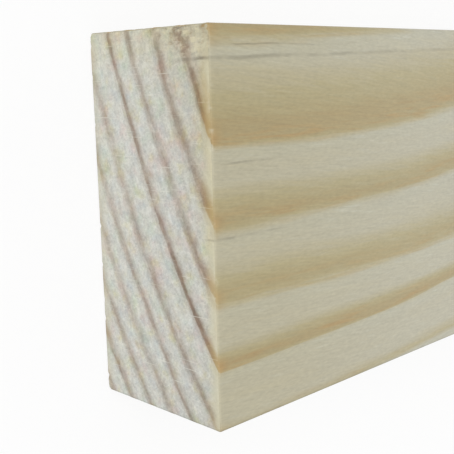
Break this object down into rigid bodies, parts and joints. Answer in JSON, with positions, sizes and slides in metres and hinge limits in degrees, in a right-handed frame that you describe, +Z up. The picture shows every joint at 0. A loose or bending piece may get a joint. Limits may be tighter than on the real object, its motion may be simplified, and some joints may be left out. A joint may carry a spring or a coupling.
{
  "type": "rectangular moulding strip",
  "caption": "Straight length of planed pine moulding with a plain rectangular section, lightly eased arrises and square sawn ends, for framing, edging and trim.",
  "frame": {"origin": "middle of the wide face that the strip lies on, at floor level", "axes": "+X along the strip, +Y across its width, +Z up through its thickness"},
  "size_m": [1, 0.045, 0.021],
  "materials": {
    "pine": "planed bare softwood, with fine-sawn ends"
  },
  "bodies": {
    "root": {"strip": "pine"}
  },
  "joints": []
}
